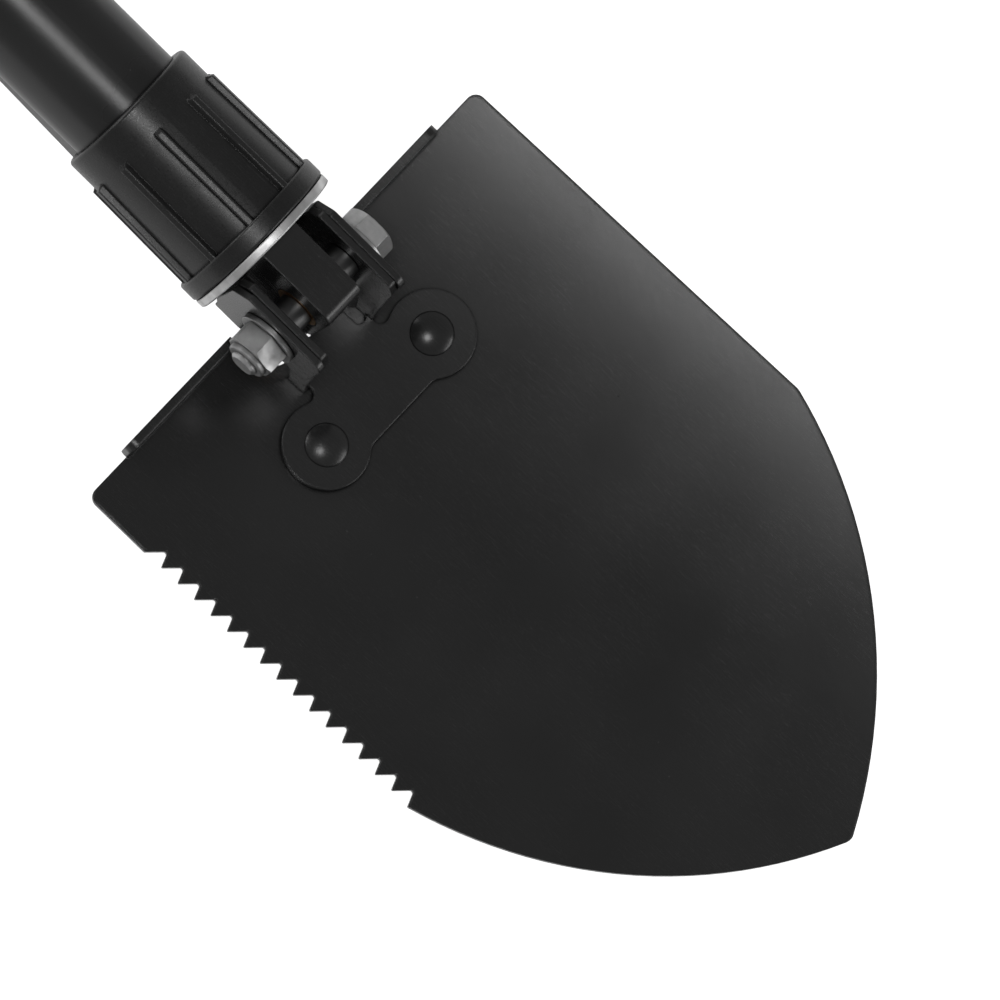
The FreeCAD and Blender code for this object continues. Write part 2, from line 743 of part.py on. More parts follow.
def make_nut_insert():
    low, high = nylon_span()
    ring = cross_rod(NYLON_OUTER_R - FACE_GAP, low + FACE_GAP, high - FACE_GAP)
    return ring.cut(cross_rod(NUT_BORE_R, low, high))


def make_pivot_washers():
    inner_face = PICK_EAR_Y + SHEET + GAP
    washers = []
    for side in SIDES:
        low, high = sorted((side * inner_face, side * (inner_face + WASHER_THICK)))
        washers.append(cross_rod(WASHER_R, low, high).cut(cross_rod(PIVOT_BORE_R, low, high)))
    return Part.makeCompound(washers)


def make_pivot_spacers():
    spacers = []
    for side in SIDES:
        low, high = sorted((side * (TONGUE_HALF_Y + FACE_GAP), side * (BRACKET_EAR_Y - GAP)))
        spacers.append(cross_rod(SPACER_R, low, high).cut(cross_rod(PIVOT_BORE_R, low, high)))
    return Part.makeCompound(spacers)


# Handle body

def make_hinge_tongue():
    corners = [
        (NECK_FRONT_X - OVERRUN, -TONGUE_HALF_Z, 0),
        (NECK_FRONT_X - OVERRUN, TONGUE_HALF_Z, 0),
        (TONGUE_FRONT_X, TONGUE_HALF_Z, TONGUE_ROUND),
        (TONGUE_FRONT_X, -TONGUE_HALF_Z, TONGUE_ROUND),
    ]
    tongue = side_plate(corners, -TONGUE_HALF_Y, TONGUE_HALF_Y)
    tongue = tongue.fuse(rod(NECK_R, TUBE_FRONT_X - OVERRUN, NECK_FRONT_X))
    tongue = tongue.fuse(rod(TUBE_BORE_R - FACE_GAP, PLUG_END_X, TUBE_FRONT_X))
    tongue = tongue.cut(cross_rod(BUSH_R, -BORE_REACH, BORE_REACH))
    return tongue.cut(cross_pin_rods(PIN_R)).removeSplitter()


def make_tongue_bush():
    return cross_rod(BUSH_R - FACE_GAP, -TONGUE_HALF_Y, TONGUE_HALF_Y).cut(
        cross_rod(PIVOT_BORE_R, -TONGUE_HALF_Y, TONGUE_HALF_Y)
    )


def cross_pin_rods(radius):
    reach = THREAD_ROOT_R - PIN_SHORT
    return Part.makeCompound([cross_rod(radius, -reach, reach, x) for x in PIN_XS])


def make_cross_pins():
    return cross_pin_rods(PIN_R - FACE_GAP)


def insert_rivet(side, radius):
    start = Vector(INSERT_RIVET_X, 0, side * (INSERT_BORE_R + INSERT_RIVET_SHORT))
    return Part.makeCylinder(radius, TUBE_R - INSERT_BORE_R, start, Z_AXIS * side)


def make_handle_tube():
    tube = pipe(TUBE_R, TUBE_BORE_R, TUBE_END_X, TUBE_FRONT_X)
    tube = tube.cut(Part.makeCompound([cross_rod(PIN_R, -BORE_REACH, BORE_REACH, x) for x in PIN_XS]))
    for side in SIDES:
        tube = tube.cut(insert_rivet(side, INSERT_RIVET_R))
    return tube.removeSplitter()


def thread_ridge():
    """Helical ridge of the sleeve's right-hand thread."""
    length = TUBE_FRONT_X - SLEEVE_END_X - THREAD_LEAD
    helix = Part.makeHelix(THREAD_LEAD, length, THREAD_ROOT_R)
    buried = THREAD_ROOT_R - THREAD_ROOT_DEPTH
    section = Part.makePolygon(
        [
            Vector(buried, 0, -THREAD_FOOT / 2),
            Vector(THREAD_CREST_R, 0, -THREAD_CREST / 2),
            Vector(THREAD_CREST_R, 0, THREAD_CREST / 2),
            Vector(buried, 0, THREAD_FOOT / 2),
            Vector(buried, 0, -THREAD_FOOT / 2),
        ]
    )
    ridge = Part.Wire(helix).makePipeShell([section], True, True)
    ridge.rotate(Vector(), Y_AXIS, 90)
    ridge.translate(Vector(SLEEVE_END_X + THREAD_LEAD / 2, 0, 0))
    return ridge


def make_thread_sleeve():
    sleeve = rod(THREAD_ROOT_R, SLEEVE_END_X, TUBE_FRONT_X)
    sleeve = sleeve.fuse(thread_ridge())
    sleeve = sleeve.cut(rod(TUBE_R + FACE_GAP, SLEEVE_END_X - OVERRUN, TUBE_FRONT_X + OVERRUN))
    return sleeve.cut(cross_pin_rods(PIN_R))


def make_end_insert():
    insert = pipe(TUBE_BORE_R - FACE_GAP, INSERT_BORE_R, TUBE_END_X, TUBE_END_X + INSERT_LENGTH)
    for side in SIDES:
        insert = insert.cut(insert_rivet(side, INSERT_RIVET_R))
    return insert


def make_insert_rivets():
    rivets = []
    for side in SIDES:
        shank = insert_rivet(side, INSERT_RIVET_R - FACE_GAP)
        head = dome(INSERT_RIVET_HEAD_R, INSERT_RIVET_HEAD_H)
        if side < 0:
            head.rotate(Vector(), X_AXIS, 180)
        head.translate(Vector(INSERT_RIVET_X, 0, side * (TUBE_R + FACE_GAP)))
        rivets.append(head.fuse(shank))
    return Part.makeCompound(rivets)


# Locking collar and pressure ring

def rims_at(solid, x):
    """Circular edges that lie square to the handle's axis at x."""
    return edges_where(
        solid, lambda e: abs(e.BoundBox.XMax - x) < NEAR and e.BoundBox.XLength < NEAR
    )


def make_pressure_ring():
    """Flat ring whose window rides on the tongue, with a spigot that the collar turns on."""
    ring = rod(RING_R, RING_BACK_X, RING_FRONT_X)
    ring = ring.makeFillet(RING_EDGE, rims_at(ring, RING_BACK_X) + rims_at(ring, RING_FRONT_X))
    half_y = TONGUE_HALF_Y + GAP
    half_z = TONGUE_HALF_Z + GAP
    corner = Vector(RING_BACK_X - OVERRUN, -half_y, -half_z)
    window = Part.makeBox(RING_THICK + 2 * OVERRUN, 2 * half_y, 2 * half_z, corner)
    spigot = pipe(SPIGOT_R, RING_BORE_R, RING_BACK_X - SPIGOT_LENGTH, RING_BACK_X + OVERLAP)
    groove = pipe(SPIGOT_R + OVERRUN, CLIP_INNER_R - GAP, CLIP_X - CLIP_THICK - GAP, CLIP_X + GAP)
    return ring.cut(window).fuse(spigot).cut(groove).removeSplitter()


def make_ring_clip():
    clip = pipe(CLIP_OUTER_R, CLIP_INNER_R, CLIP_X - CLIP_THICK, CLIP_X)
    corner = Vector(CLIP_X - CLIP_THICK - OVERRUN, -CLIP_GAP / 2, 0)
    return clip.cut(Part.makeBox(CLIP_THICK + 2 * OVERRUN, CLIP_GAP, 2 * CLIP_OUTER_R, corner))


def rib_section(x, crest_r):
    """Tapered cross-section of a rib, from its foot inside the collar's wall to its crest."""
    foot_r = SHOULDER_BAND_R - RIB_FOOT_DEPTH
    corners = [
        Vector(x, -RIB_FOOT / 2, foot_r),
        Vector(x, -RIB_CREST / 2, crest_r),
        Vector(x, RIB_CREST / 2, crest_r),
        Vector(x, RIB_FOOT / 2, foot_r),
    ]
    return Part.makePolygon(corners + corners[:1])


def collar_rib(angle):
    """Raised rib: it ramps up at the shoulder and its crest grows towards the pressure ring."""
    back_x = COLLAR_END_X + SHOULDER_BAND_LENGTH
    start = rib_section(back_x, SHOULDER_BAND_R - RIB_START_DEPTH)
    knee = rib_section(back_x + RIB_RAMP, CREST_BACK_R)
    front = rib_section(COLLAR_FRONT_X - BAND_LENGTH + OVERLAP, CREST_FRONT_R)
    ramp = Part.makeLoft([start, knee], True, True)
    crest = Part.makeLoft([knee, front], True, True)
    crest = crest.makeFillet(RIB_EDGE, edges_where(crest, is_crest_edge))
    rib = ramp.fuse(crest)
    rib.rotate(Vector(), X_AXIS, angle)
    return rib


def is_crest_edge(edge):
    return edge.BoundBox.XLength > RIB_CREST and edge.CenterOfMass.z > CREST_BACK_R - 0.1


def collar_bore():
    guide_end = COLLAR_FRONT_X - COLLAR_GUIDE_LENGTH
    lip_start = COLLAR_END_X + COLLAR_LIP_LENGTH
    bore = rod(COLLAR_LIP_R, COLLAR_END_X - OVERRUN, lip_start + OVERRUN)
    bore = bore.fuse(rod(COLLAR_BORE_R, lip_start, guide_end))
    bore = bore.fuse(rod(COLLAR_GUIDE_R, guide_end - OVERRUN, COLLAR_FRONT_X + OVERRUN))
    groove = rod(CLIP_GROOVE_R, CLIP_X - CLIP_THICK - 2 * GAP, CLIP_X + 2 * GAP)
    return bore.fuse(groove)


def make_locking_collar():
    flutes_back_x = COLLAR_END_X + SHOULDER_BAND_LENGTH
    band_back_x = COLLAR_FRONT_X - BAND_LENGTH
    flutes_length = band_back_x + OVERRUN - flutes_back_x
    body = Part.makeCone(SHOULDER_BAND_R, FLUTE_R, flutes_length, Vector(flutes_back_x, 0, 0), X_AXIS)
    band = rod(BAND_R, band_back_x, COLLAR_FRONT_X)
    band = band.makeFillet(BAND_ROUND, rims_at(band, band_back_x) + rims_at(band, COLLAR_FRONT_X))
    shoulder = rod(SHOULDER_BAND_R, COLLAR_END_X, COLLAR_END_X + SHOULDER_BAND_LENGTH)
    shoulder = shoulder.makeFillet(SHOULDER_BAND_ROUND, rims_at(shoulder, COLLAR_END_X))
    collar = body.fuse([band, shoulder])
    for k in range(RIB_COUNT):
        collar = collar.fuse(collar_rib(FIRST_RIB_ANGLE + k * 360 / RIB_COUNT))
    return collar.removeSplitter().cut(collar_bore()).removeSplitter()


# End cap

def cap_flutes():
    flutes = []
    centre_r = CAP_R + CAP_FLUTE_R - CAP_FLUTE_DEPTH
    for k in range(CAP_FLUTES):
        angle = math.radians((k + 0.5) * 360 / CAP_FLUTES)
        start = Vector(CAP_END_X - OVERRUN, centre_r * math.cos(angle), centre_r * math.sin(angle))
        length = CAP_FACE_X - CAP_FLUTE_SHORT - CAP_END_X
        flutes.append(Part.makeCylinder(CAP_FLUTE_R, length, start, X_AXIS))
    return Part.makeCompound(flutes)


def make_end_cap():
    cap = rod(CAP_R, CAP_END_X, CAP_FACE_X)
    cap = cap.makeFillet(CAP_EDGE, rims_at(cap, CAP_END_X))
    cap = cap.cut(cap_flutes())
    cap = cap.fuse(rod(CAP_SPIGOT_R, CAP_FACE_X - OVERRUN, CAP_FACE_X + CAP_SPIGOT_LENGTH))
    groove_x = CAP_FACE_X - SEAL_GROOVE_DEPTH
    outer_r = SEAL_RING_R + SEAL_R + GAP
    cap = cap.cut(pipe(outer_r, SEAL_RING_R - SEAL_R - GAP, groove_x, CAP_FACE_X))
    return cap.cut(cross_rod(LANYARD_R, -BORE_REACH, BORE_REACH, LANYARD_X)).removeSplitter()


def make_cap_seal():
    return Part.makeTorus(SEAL_RING_R, SEAL_R, Vector(SEAL_X, 0, 0), X_AXIS)


NODES = {
    "blade": make_blade,
    "blade_bracket": make_blade_bracket,
    "blade_rivets": make_blade_rivets,
    "pick": make_pick,
    "pivot_bolt": make_pivot_bolt,
    "pivot_nut": make_pivot_nut,
    "nut_insert": make_nut_insert,
    "pivot_washers": make_pivot_washers,
    "pivot_spacers": make_pivot_spacers,
    "hinge_tongue": make_hinge_tongue,
    "tongue_bush": make_tongue_bush,
    "cross_pins": make_cross_pins,
    "handle_tube": make_handle_tube,
    "thread_sleeve": make_thread_sleeve,
    "pressure_ring": make_pressure_ring,
    "ring_clip": make_ring_clip,
    "locking_collar": make_locking_collar,
    "end_insert": make_end_insert,
    "insert_rivets": make_insert_rivets,
    "end_cap": make_end_cap,
    "cap_seal": make_cap_seal,
}


def main():
    os.makedirs("parts", exist_ok=True)
    to_cap_face = Placement(Vector(-CAP_END_X, 0, 0), Rotation())
    for name, make in NODES.items():
        shape = make()
        shape.Placement = to_cap_face.multiply(shape.Placement)
        shape.exportStep(f"parts/{name}.step")


main()
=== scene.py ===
import math

import bpy
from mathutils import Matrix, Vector


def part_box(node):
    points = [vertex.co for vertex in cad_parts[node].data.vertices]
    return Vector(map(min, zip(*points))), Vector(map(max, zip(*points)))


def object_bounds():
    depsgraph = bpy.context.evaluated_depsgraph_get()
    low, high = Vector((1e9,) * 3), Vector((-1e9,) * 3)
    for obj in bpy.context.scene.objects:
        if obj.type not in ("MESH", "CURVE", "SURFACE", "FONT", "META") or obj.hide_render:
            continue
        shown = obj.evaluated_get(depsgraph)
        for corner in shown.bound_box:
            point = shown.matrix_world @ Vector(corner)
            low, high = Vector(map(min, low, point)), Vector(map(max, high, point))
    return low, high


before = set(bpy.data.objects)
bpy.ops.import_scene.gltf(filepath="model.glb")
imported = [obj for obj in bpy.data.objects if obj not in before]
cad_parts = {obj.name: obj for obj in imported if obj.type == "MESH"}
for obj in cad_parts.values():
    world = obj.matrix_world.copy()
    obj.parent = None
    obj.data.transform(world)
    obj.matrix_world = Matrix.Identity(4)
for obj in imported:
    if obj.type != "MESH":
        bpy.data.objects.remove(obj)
cad_low, cad_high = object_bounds()

# Folding camp shovel: finishes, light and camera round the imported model, in metres and in its frame.
MM = 0.001

# Rounding of sharp edges in the meshes
BEVEL_SEGMENTS = 2
SHARP_ANGLE = math.radians(35)
FLAT_ANGLE = math.radians(0.6)
FACE_WEIGHT = 80
WELD_DISTANCE = 0.001 * MM
SHEET_EDGE = 0.2 * MM
WASHER_EDGE = 0.15 * MM
SPACER_EDGE = 0.2 * MM

# Rounding of edges in the shading, and painted shade darkening seams and close gaps
EDGE_SAMPLES = 4
SEAM_SHADE_SAMPLES = 6
SEAM_SHADE_REACH = 1.2 * MM

# Noise values run from 0 to 1, but nearly all of them lie in this band, and the middle is the most common
NOISE_LOW = 0.3
NOISE_HIGH = 0.7
NOISE_MIDDLE = 0.5

# Mirror strength of a paint or plastic in the open, cut down where shade is painted into seams
GLOSS = 0.5

# Where the pivot bolt's axis crosses the handle's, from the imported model
BOLT_LOW, BOLT_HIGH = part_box("pivot_bolt")
PIVOT = Vector(((BOLT_LOW.x + BOLT_HIGH.x) / 2, 0, 0))

# Camera, looking at the blade between its rivets and its middle
CAMERA_AIM = PIVOT + Vector((0.073, -0.0047, 0))
CAMERA_DISTANCE = 2.941
CAMERA_AZIMUTH = -23.1
CAMERA_ELEVATION = 75.0
CAMERA_ROLL = 67.0
CAMERA_LENS = 407.0
CAMERA_SENSOR = 36.0
CAMERA_NEAR = 0.01
CAMERA_FAR = 100.0

# Lamps: a key in the camera's direction and a low wall of light on either side, at (azimuth, elevation)
KEY_DISTANCE = 3.3
KEY_SIZE = (0.87, 0.87)
KEY_WATTS = 27.0
WALLS = {"left_wall": (-80, 18), "right_wall": (110, 22)}
WALL_DISTANCE = 2.5
WALL_SIZE = (1.6, 0.8)
WALL_WATTS = 14.0

# Floor: it looks brighter to the camera than in reflections, so that the black paint stays black
FLOOR_GAP = 0.0005
FLOOR_RADIUS = 30.0
FLOOR_SIDES = 128
FLOOR_GLOW = 0.85
FLOOR_REFLECTED_GLOW = 0.22

# Surroundings, with heights as the sine of the elevation: 0 at the horizon, 1 overhead
WALL_TOP = 0.30
CEILING_START = 0.72
ZENITH_LIGHT = 0.2
HORIZON_LIGHT = 0.28


# ------------------------------------------------------------------ material building blocks

class Graph:
    """Node tree of one material, with short calls for the nodes that every finish needs."""

    def __init__(self, name):
        self.material = bpy.data.materials.new(name)
        self.material.use_nodes = True
        self.nodes = self.material.node_tree.nodes
        self.links = self.material.node_tree.links
        self.surface = self.nodes["Principled BSDF"]
        self.place = self.nodes.new("ShaderNodeTexCoord").outputs["Object"]

    def feed(self, socket, value):
        """Links a node's output to the socket, or sets the socket to a plain value."""
        if isinstance(value, bpy.types.NodeSocket):
            self.links.new(value, socket)
        else:
            socket.default_value = value

    def add(self, kind, settings=None, **inputs):
        """New node; an input's name has underscores in place of its spaces."""
        node = self.nodes.new(kind)
        for key, value in (settings or {}).items():
            setattr(node, key, value)
        for key, value in inputs.items():
            self.feed(node.inputs[key.replace("_", " ")], value)
        return node

    def math(self, operation, a, b=0.0, clamp=False):
        node = self.nodes.new("ShaderNodeMath")
        node.operation = operation
        node.use_clamp = clamp
        self.feed(node.inputs[0], a)
        self.feed(node.inputs[1], b)
        return node.outputs[0]

    def times(self, a, b):
        return self.math("MULTIPLY", a, b)

    def span(self, value, low, high, new_low=0.0, new_high=1.0, smooth=False):
        """Value mapped from low..high to new_low..new_high and clamped."""
        node = self.nodes.new("ShaderNodeMapRange")
        node.interpolation_type = "SMOOTHSTEP" if smooth else "LINEAR"
        for socket, number in zip(node.inputs[:5], (value, low, high, new_low, new_high)):
            self.feed(socket, number)
        return node.outputs[0]

    def mix(self, share, a, b):
        """Colour a where share is 0, colour b where it is 1."""
        node = self.nodes.new("ShaderNodeMix")
        node.data_type = "RGBA"
        for socket, value in ((node.inputs[0], share), (node.inputs[6], a), (node.inputs[7], b)):
            self.feed(socket, value)
        return node.outputs[2]

    def stretched(self, scale, turn=(0, 0, 0)):
        """Object position, scaled along each axis and then turned."""
        node = self.add("ShaderNodeMapping", Vector=self.place, Rotation=turn, Scale=scale)
        return node.outputs[0]

    def noise(self, scale, detail=2.0, vector=None):
        """Noise with so many blotches to the metre, or to the unit of the vector."""
        node = self.add("ShaderNodeTexNoise", Vector=vector or self.place, Scale=scale,
                        Detail=detail, Roughness=0.5)
        return node.outputs[0]

    def grain(self, scale):
        """Noise drawn out along the axes that have the smaller scales."""
        return self.noise(1.0, 3.0, self.stretched(scale))

    def specks(self, scale, size):
        """1 inside small round dots, 0 elsewhere; only the brightest of the randomly coloured cells hold one."""
        node = self.add("ShaderNodeTexVoronoi", Vector=self.place, Scale=scale)
        chosen = self.span(node.outputs["Color"], 0.72, 0.74)
        dots = self.span(node.outputs["Distance"], size, size * 0.6)
        return self.times(dots, chosen)

    def scratches(self, scale, turn, amount):
        """Fine straight lines along X: drawn-out noise cut at its middle, broken up by a broad noise."""
        lines = self.noise(1.0, 3.0, self.stretched((scale * 0.02, scale, scale * 0.5), turn))
        level = self.math("ABSOLUTE", self.math("SUBTRACT", lines, NOISE_MIDDLE))
        thin = self.span(level, 0.006, 0.0)
        patches = self.span(self.noise(38.0, 1.0), 0.6 - amount, 0.82 - amount, smooth=True)
        return self.times(thin, patches)

    def edges(self, radius):
        """How near a point is to a sharp convex or concave edge, from 0 to 1."""
        geometry = self.nodes.new("ShaderNodeNewGeometry")
        likeness = self.nodes.new("ShaderNodeVectorMath")
        likeness.operation = "DOT_PRODUCT"
        self.links.new(self.rounded_normal(radius), likeness.inputs[0])
        self.links.new(geometry.outputs["Normal"], likeness.inputs[1])
        return self.span(likeness.outputs["Value"], 0.995, 0.86)

    def worn_edges(self, radius, patch, low, high):
        """How worn a point is, from 0 to 1: near sharp edges, in the blotches where the patch noise is high."""
        return self.times(self.edges(radius), self.span(patch, low, high))

    def painted_seam_shade(self):
        """Ambient occlusion turned into painted shade: 0 deep in a seam between close faces, 1 in the open."""
        node = self.add("ShaderNodeAmbientOcclusion", {"samples": SEAM_SHADE_SAMPLES}, Distance=SEAM_SHADE_REACH)
        return self.span(node.outputs["AO"], 0.35, 0.85)

    def bump(self, height, distance, normal=None):
        """Normal of a surface with that height map, distance high, on top of the normal given."""
        node = self.add("ShaderNodeBump", Height=height, Distance=distance, Strength=1.0)
        if normal is not None:
            self.links.new(normal, node.inputs["Normal"])
        return node.outputs[0]

    def rounded_normal(self, radius):
        return self.add("ShaderNodeBevel", {"samples": EDGE_SAMPLES}, Radius=radius).outputs[0]

    def finish(self, colour, roughness, normal, **rest):
        """Feeds the surface shader and gives back the finished material."""
        self.feed(self.surface.inputs["Base Color"], colour)
        self.feed(self.surface.inputs["Roughness"], roughness)
        self.feed(self.surface.inputs["Normal"], normal)
        for key, value in rest.items():
            self.feed(self.surface.inputs[key.replace("_", " ")], value)
        return self.material


def grey(level):
    return (level, level, level, 1.0)


# ------------------------------------------------------------------ finishes

def black_paint(name, roughness=0.24, rounding=0.35 * MM, wear=0.5, scratch=0.3):
    """Satin black paint on steel: fine grain, soft unevenness, specks, hairline scratches, worn edges, and
    painted shade that darkens seams and dims their reflection.
    """
    coat_dark, coat_light, bare, dust_tone, painted_shade_tone = 0.0145, 0.018, 0.07, 0.14, 0.002
    g = Graph(name)
    grain = g.noise(2600.0)
    peel = g.noise(520.0)
    cloud = g.noise(26.0, 3.0)
    lines = g.scratches(2200.0, (0.0, 0.0, 0.55), scratch)
    more_lines = g.scratches(2600.0, (0.0, 0.0, -0.9), scratch * 0.7)
    marks = g.math("ADD", lines, more_lines, clamp=True)
    dust = g.specks(240.0, 0.045)
    pits = g.specks(90.0, 0.03)
    worn = g.times(g.worn_edges(0.7 * MM, g.noise(330.0, 3.0), 0.5, 0.66), wear)
    colour = g.mix(g.span(cloud, NOISE_LOW, NOISE_HIGH), grey(coat_dark), grey(coat_light))
    colour = g.mix(g.times(marks, 0.25), colour, grey(bare))
    colour = g.mix(g.times(dust, 0.4), colour, grey(dust_tone))
    colour = g.mix(worn, colour, grey(bare))
    # Painted shade: the colour goes near black in seams and close gaps, where shade falls, and the reflection
    # dims there too.
    outside_seam_shade = g.painted_seam_shade()
    colour = g.mix(outside_seam_shade, grey(painted_shade_tone), colour)
    shine = g.span(cloud, NOISE_LOW, NOISE_HIGH, roughness - 0.02, roughness + 0.03)
    shine = g.math("ADD", shine, g.times(marks, 0.08))
    height = g.math("ADD", g.times(grain, 0.5), g.times(peel, 1.1))
    height = g.math("SUBTRACT", height, g.times(marks, 0.25))
    height = g.math("SUBTRACT", height, g.times(pits, 6.0))
    normal = g.bump(height, 0.012 * MM, g.rounded_normal(rounding))
    return g.finish(colour, shine, normal, Specular_IOR_Level=g.times(outside_seam_shade, GLOSS))


def zinc(name, roughness, level):
    """Zinc plating: fine directional grain, duller patches, scratches, and painted shade that darkens seams."""
    dull, scratch_tone, painted_shade_tone = 0.62, 0.25, 0.03
    g = Graph(name)
    brushed = g.grain((500.0, 2600.0, 2600.0))
    patch = g.noise(160.0, 4.0)
    marks = g.scratches(1600.0, (0.0, 0.3, 0.2), 0.4)
    colour = g.mix(g.span(patch, 0.35, NOISE_HIGH), grey(level), grey(level * dull))
    colour = g.mix(g.times(marks, 0.5), colour, grey(scratch_tone))
    # Painted shade: the colour darkens in seams and close gaps, where shade falls.
    colour = g.mix(g.painted_seam_shade(), grey(painted_shade_tone), colour)
    shine = g.span(patch, NOISE_LOW, NOISE_HIGH, roughness - 0.08, roughness + 0.14)
    height = g.math("ADD", g.times(brushed, 0.6), g.times(patch, 1.5))
    normal = g.bump(height, 0.02 * MM, g.rounded_normal(0.3 * MM))
    return g.finish(colour, shine, normal, Metallic=1.0)


def nylon(name, roughness):
    """Moulded black nylon: fine spark texture, soft sink marks, scuffed crests, and painted shade that darkens
    seams and dims their reflection.
    """
    coat_dark, coat_light, crest_tone, scuff_tone, painted_shade_tone = 0.008, 0.012, 0.06, 0.08, 0.002
    g = Graph(name)
    spark = g.noise(1900.0, 3.0)
    sink = g.noise(70.0)
    scuffs = g.scratches(1300.0, (0.0, 0.0, 0.2), 0.35)
    crest = g.worn_edges(0.8 * MM, g.noise(260.0, 3.0), 0.45, 0.65)
    colour = g.mix(g.span(sink, NOISE_LOW, NOISE_HIGH), grey(coat_dark), grey(coat_light))
    colour = g.mix(g.times(crest, 0.4), colour, grey(crest_tone))
    colour = g.mix(g.times(scuffs, 0.3), colour, grey(scuff_tone))
    # Painted shade: the colour goes near black in seams and close gaps, where shade falls, and the reflection
    # dims there too.
    outside_seam_shade = g.painted_seam_shade()
    colour = g.mix(outside_seam_shade, grey(painted_shade_tone), colour)
    shine = g.span(spark, NOISE_LOW, NOISE_HIGH, roughness - 0.05, roughness + 0.07)
    height = g.math("ADD", g.times(spark, 0.4), g.times(sink, 6.0))
    normal = g.bump(height, 0.014 * MM, g.rounded_normal(0.4 * MM))
    return g.finish(colour, shine, normal, Specular_IOR_Level=g.times(outside_seam_shade, GLOSS))


def blackened_steel(name):
    """Oil-blackened steel: near black, fine turned grain, bright only where it is rubbed."""
    coat, bare = 0.10, 0.3
    g = Graph(name)
    turned = g.grain((500.0, 2600.0, 500.0))
    patch = g.noise(300.0, 3.0)
    rubbed = g.worn_edges(0.3 * MM, patch, 0.5, 0.65)
    colour = g.mix(rubbed, grey(coat), grey(bare))
    shine = g.span(patch, NOISE_LOW, NOISE_HIGH, 0.32, 0.45)
    return g.finish(colour, shine, g.bump(turned, 0.02 * MM), Metallic=1.0)


def bronze(name):
    """Turned bearing bronze with darker patches."""
    clean, tarnished = (0.42, 0.24, 0.09, 1.0), (0.24, 0.13, 0.05, 1.0)
    g = Graph(name)
    turned = g.grain((400.0, 3000.0, 400.0))
    patch = g.noise(200.0, 3.0)
    colour = g.mix(g.span(patch, 0.35, NOISE_HIGH), clean, tarnished)
    shine = g.span(turned, NOISE_LOW, NOISE_HIGH, 0.28, 0.42)
    normal = g.bump(turned, 0.02 * MM, g.rounded_normal(0.2 * MM))
    return g.finish(colour, shine, normal, Metallic=1.0)


def rubber(name):
    """Matt black rubber with a pale bloom."""
    clean, bloomed = 0.012, 0.022
    g = Graph(name)
    bloom = g.noise(300.0, 4.0)
    fine = g.noise(2200.0)
    colour = g.mix(g.span(bloom, 0.35, NOISE_HIGH), grey(clean), grey(bloomed))
    shine = g.span(bloom, NOISE_LOW, NOISE_HIGH, 0.55, 0.75)
    normal = g.bump(fine, 0.02 * MM, g.rounded_normal(0.2 * MM))
    return g.finish(colour, shine, normal)


# ------------------------------------------------------------------ pieces

def round_edges(piece, radius):
    """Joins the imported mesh's split faces, then bevels its sharp edges."""
    piece.modifiers.new("Join", "WELD").merge_threshold = WELD_DISTANCE
    flats = piece.modifiers.new("Flats", "DECIMATE")
    flats.decimate_type = "DISSOLVE"
    flats.angle_limit = FLAT_ANGLE
    rounding = piece.modifiers.new("Round", "BEVEL")
    rounding.width = radius
    rounding.segments = BEVEL_SEGMENTS
    rounding.limit_method = "ANGLE"
    rounding.angle_limit = SHARP_ANGLE
    rounding.miter_outer = "MITER_ARC"
    rounding.use_clamp_overlap = False
    shading = piece.modifiers.new("Shade", "WEIGHTED_NORMAL")
    shading.keep_sharp = False
    shading.weight = FACE_WEIGHT


def dress(material, *nodes, radius=None):
    """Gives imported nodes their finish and, where asked, rounds their sharp edges."""
    for node in nodes:
        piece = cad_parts[node]
        piece.data.materials.clear()
        piece.data.materials.append(material)
        if radius:
            round_edges(piece, radius)


def dress_everything():
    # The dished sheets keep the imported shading, which a bevel would spoil: the shader rounds their edges.
    dress(black_paint("painted_blade", rounding=1.1 * MM), "blade")
    dress(black_paint("painted_bracket", rounding=0.8 * MM), "blade_bracket")
    sheet = black_paint("painted_sheet", rounding=0.6 * MM, wear=0.35)
    dress(sheet, "pick", "hinge_tongue", radius=SHEET_EDGE)
    dress(sheet, "blade_rivets")
    dress(black_paint("painted_tube", roughness=0.27, wear=0.2, scratch=0.0), "handle_tube")
    dress(zinc("zinc_plate", roughness=0.46, level=0.72),
          "pressure_ring", "cross_pins", "thread_sleeve", "ring_clip", "insert_rivets")
    dress(zinc("bright_zinc", roughness=0.38, level=0.55), "pivot_bolt")
    dulled = zinc("dulled_zinc", roughness=0.42, level=0.4)
    dress(dulled, "pivot_nut")
    dress(dulled, "pivot_washers", radius=WASHER_EDGE)
    dress(blackened_steel("blackened_steel"), "pivot_spacers", radius=SPACER_EDGE)
    dress(nylon("black_nylon", roughness=0.3), "locking_collar", "end_cap", "end_insert", "nut_insert")
    dress(bronze("bronze_bush"), "tongue_bush")
    dress(rubber("seal_rubber"), "cap_seal")


# ------------------------------------------------------------------ stage

def pale_floor():
    """Almost white and matt, with a glow that keeps it even."""
    g = Graph("pale_floor")
    tint = g.noise(3.0)
    seen = g.nodes.new("ShaderNodeLightPath").outputs["Is Camera Ray"]
    glow = g.span(seen, 0.0, 1.0, FLOOR_REFLECTED_GLOW, FLOOR_GLOW)
    return g.finish(g.mix(tint, grey(0.90), grey(0.93)), 0.85, g.bump(g.noise(600.0), 0.01 * MM),
                    Emission_Color=grey(1.0), Emission_Strength=glow, Specular_IOR_Level=0.0)


def make_floor():
    bpy.ops.mesh.primitive_circle_add(vertices=FLOOR_SIDES, radius=FLOOR_RADIUS, fill_type="NGON")
    floor = bpy.context.object
    floor.name = "floor"
    floor.location = (CAMERA_AIM.x, CAMERA_AIM.y, cad_low.z - FLOOR_GAP)
    floor.data.materials.append(pale_floor())


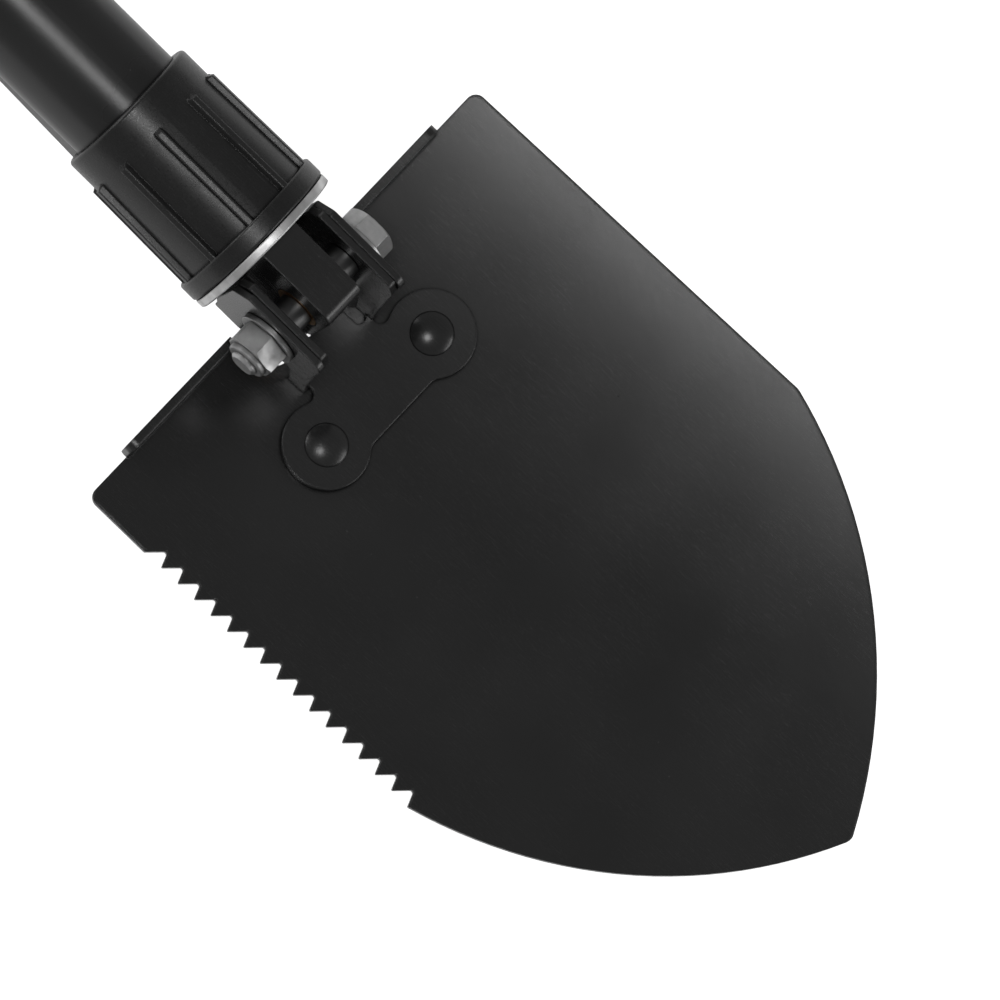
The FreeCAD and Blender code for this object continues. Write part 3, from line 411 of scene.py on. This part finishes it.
def direction(azimuth, elevation):
    """Unit vector from the object towards a viewer at that azimuth and elevation, in degrees."""
    around, up = math.radians(azimuth), math.radians(elevation)
    return Vector((math.sin(around) * math.cos(up), -math.cos(around) * math.cos(up), math.sin(up)))


def make_lamp(name, azimuth, elevation, distance, size, watts):
    """Soft rectangular lamp that shines on the pivot."""
    lamp = bpy.data.lights.new(name, "AREA")
    lamp.shape = "RECTANGLE"
    lamp.size, lamp.size_y = size
    lamp.energy = watts
    stand = bpy.data.objects.new(name, lamp)
    bpy.context.scene.collection.objects.link(stand)
    stand.location = PIVOT + direction(azimuth, elevation) * distance
    stand.rotation_mode = "QUATERNION"
    stand.rotation_quaternion = (stand.location - PIVOT).to_track_quat("Z", "Y")


def make_lamps():
    make_lamp("key", CAMERA_AZIMUTH, CAMERA_ELEVATION, KEY_DISTANCE, KEY_SIZE, KEY_WATTS)
    for name, (azimuth, elevation) in WALLS.items():
        make_lamp(name, azimuth, elevation, WALL_DISTANCE, WALL_SIZE, WALL_WATTS)


def make_world():
    """Light tent: dim walls and a slightly dimmer ceiling."""
    world = bpy.data.worlds.new("studio")
    bpy.context.scene.world = world
    world.use_nodes = True
    nodes, links = world.node_tree.nodes, world.node_tree.links
    place = nodes.new("ShaderNodeTexCoord")
    height = nodes.new("ShaderNodeSeparateXYZ")
    fade = nodes.new("ShaderNodeMapRange")
    fade.interpolation_type = "SMOOTHSTEP"
    for socket, number in zip(fade.inputs[1:5], (WALL_TOP, CEILING_START, HORIZON_LIGHT, ZENITH_LIGHT)):
        socket.default_value = number
    links.new(place.outputs["Generated"], height.inputs[0])
    links.new(height.outputs["Z"], fade.inputs[0])
    links.new(fade.outputs[0], nodes["Background"].inputs["Strength"])
    nodes["Background"].inputs["Color"].default_value = grey(1.0)


def make_camera():
    lens = bpy.data.cameras.new("camera")
    lens.lens = CAMERA_LENS
    lens.sensor_width = CAMERA_SENSOR
    lens.clip_start = CAMERA_NEAR
    lens.clip_end = CAMERA_FAR
    camera = bpy.data.objects.new("camera", lens)
    bpy.context.scene.collection.objects.link(camera)
    back = direction(CAMERA_AZIMUTH, CAMERA_ELEVATION)
    upright = Vector((0, 0, 1)) - back * back.z
    upright.normalize()
    right = upright.cross(back)
    roll = math.radians(CAMERA_ROLL)
    up = upright * math.cos(roll) - right * math.sin(roll)
    camera.location = CAMERA_AIM + back * CAMERA_DISTANCE
    turn = camera.matrix_basis.to_3x3()
    turn.col[0], turn.col[1], turn.col[2] = up.cross(back), up, back
    camera.rotation_mode = "QUATERNION"
    camera.rotation_quaternion = turn.to_quaternion()
    bpy.context.scene.camera = camera


def make_stage():
    make_floor()
    make_world()
    make_lamps()
    make_camera()
    bpy.context.scene.view_settings.view_transform = "Standard"


dress_everything()
make_stage()
